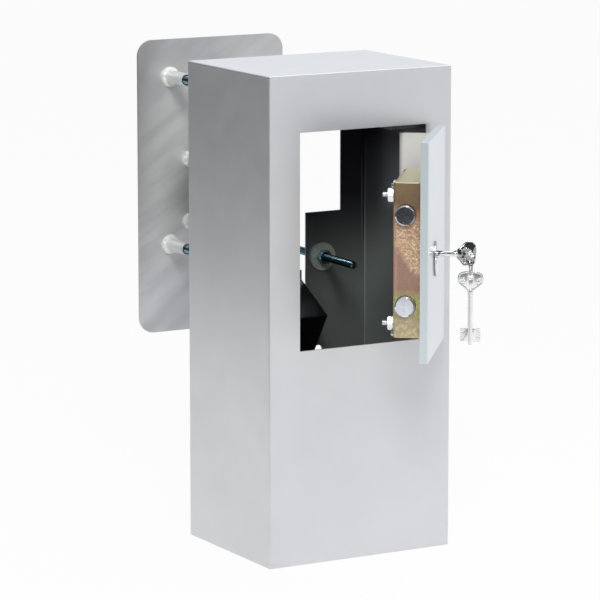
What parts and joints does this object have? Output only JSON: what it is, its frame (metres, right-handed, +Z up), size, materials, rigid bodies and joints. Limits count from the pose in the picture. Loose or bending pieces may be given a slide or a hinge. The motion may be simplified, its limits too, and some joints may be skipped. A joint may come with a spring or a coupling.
{
  "type": "through-wall key drop box with a double-bit lock",
  "caption": "Silver-grey steel box with an open door on a gooseneck hinge, a two-bolt lever lock with keys, and a slotted wall plate held on threaded rods behind it.",
  "frame": {"origin": "centre of the housing's underside, the face it stands on when it is not on a wall", "axes": "+Z up along the housing's height, +Y from the door side towards the wall, +X to the hinge side as seen from the front"},
  "size_m": [0.2, 0.4345, 0.4756],
  "materials": {
    "housing_paint": "satin silver-grey coating",
    "plate_paint": "satin grey coating with soft streaks",
    "inside_steel": "dark grey coating",
    "chute_enamel": "gloss black coating",
    "bright_steel": "turned or polished steel",
    "bright_zinc": "bright zinc plating",
    "blue_zinc": "blue passivated zinc plating",
    "weld_bead": "pale uneven weld bead",
    "galvanised_sheet": "galvanised sheet",
    "yellow_zinc": "yellow chromate zinc plating with iridescent patches",
    "lever_brass": "sheet brass",
    "key_nickel": "nickel plating",
    "ring_wire": "nickel-plated spring wire"
  },
  "bodies": {
    "root": {"housing_shell": "housing_paint", "top_cover": "housing_paint", "base_panel": "housing_paint", "rear_panel": "housing_paint", "upper_pivot_plate": "inside_steel", "lower_pivot_plate": "inside_steel", "hinge_pins": "bright_steel", "hinge_thrust_washer": "bright_steel", "drop_chute": "chute_enamel", "chute_screws": "bright_steel", "wall_plate": "plate_paint", "rod_sleeves": "plate_paint", "throat_standoffs": "plate_paint", "sleeve_welds": "weld_bead", "threaded_rods": "blue_zinc", "rod_washers": "blue_zinc", "rod_nuts": "bright_zinc", "drop_throat": "galvanised_sheet", "throat_screws": "bright_zinc", "flap_ears": "plate_paint", "flap_pin": "bright_steel"},
    "door": {"door_skin": "housing_paint", "door_arm": "housing_paint", "hardplate": "inside_steel", "lock_cover": "yellow_zinc", "lock_case": "yellow_zinc", "lock_studs": "bright_zinc", "stud_nuts": "bright_zinc", "case_rivets": "bright_steel", "lock_levers": "lever_brass", "lever_posts": "bright_steel", "lever_springs": "bright_steel", "escutcheon": "bright_zinc", "escutcheon_rivets": "bright_steel"},
    "key": {"lock_key": "key_nickel", "key_curtain": "lever_brass"},
    "bolts": {"lock_bolts": "bright_steel", "bolt_carriage": "yellow_zinc"},
    "ring": {"key_ring": "ring_wire"},
    "spare": {"spare_key": "key_nickel"},
    "flap": {"drop_flap": "plate_paint"}
  },
  "joints": [
    {"name": "door_hinge", "type": "hinge", "parent": "root", "child": "door", "pos_m": [0.0888, -0.067, 0.3115], "axis": [0, 0, 1], "range_deg": [-51.6, 43]},
    {"name": "key_turn", "type": "hinge", "parent": "door", "child": "key", "pos_m": [0.03389, -0.15721, 0.3045], "axis": [-0.7837, 0.6211, 0], "range_deg": [-35, 325]},
    {"name": "bolt_throw", "type": "slide", "parent": "door", "child": "bolts", "axis": [-0.6211, -0.7837, 0], "range_m": [-0.00194, 0.01805]},
    {"name": "ring_swing", "type": "hinge", "parent": "key", "child": "ring", "pos_m": [0.06046, -0.17826, 0.3045], "axis": [-0.7837, 0.6211, 0], "range_deg": [-2, 70]},
    {"name": "spare_swing", "type": "hinge", "parent": "ring", "child": "spare", "pos_m": [0.06046, -0.17826, 0.2835], "axis": [0.6211, 0.7837, 0], "range_deg": [-60, 18]},
    {"name": "flap_hinge", "type": "hinge", "parent": "root", "child": "flap", "pos_m": [0, 0.227, 0.353], "axis": [1, 0, 0], "range_deg": [0, 80]}
  ],
  "couplings": [
    {"joint": "key_turn", "follows": "bolt_throw", "rad_per_m": 314.16}
  ]
}
